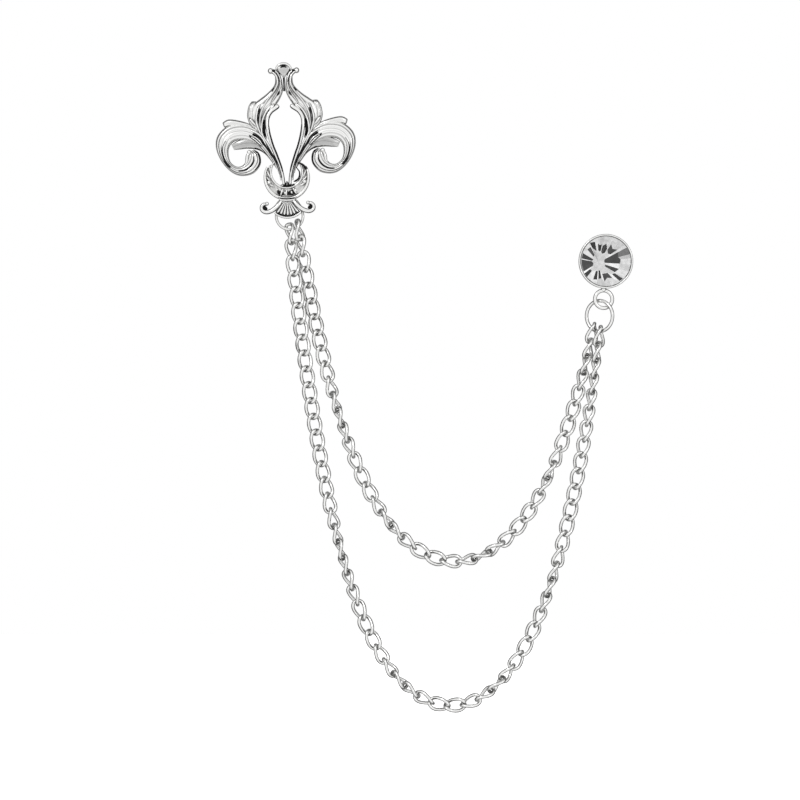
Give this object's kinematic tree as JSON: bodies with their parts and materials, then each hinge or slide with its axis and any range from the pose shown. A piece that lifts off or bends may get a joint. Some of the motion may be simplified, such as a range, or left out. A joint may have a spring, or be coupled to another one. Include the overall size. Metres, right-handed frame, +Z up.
{
  "type": "lapel chain",
  "caption": "Fleur-de-lis lapel brooch and round crystal stud joined by two hanging curb-chain swags, with hidden clutch posts.",
  "frame": {"origin": "on the lapel's cloth, on the axis of the brooch's post, where the brooch pins on", "axes": "+X to the viewer's right, +Y into the lapel along the posts, +Z up, as the piece hangs"},
  "size_m": [0.0834, 0.0129, 0.1299],
  "materials": {
    "silver_casting": "polished silver plate with dark valleys",
    "silver_wire": "bright silver-plated wire",
    "crystal": "foil-backed clear crystal"
  },
  "bodies": {
    "root": {"fleur_casting": "silver_casting", "brooch_post": "silver_wire", "brooch_ring": "silver_wire", "chain_outer": "silver_wire", "chain_inner": "silver_wire", "stud_ring": "silver_wire", "stone_setting": "silver_casting", "crystal_stone": "crystal"}
  },
  "joints": []
}
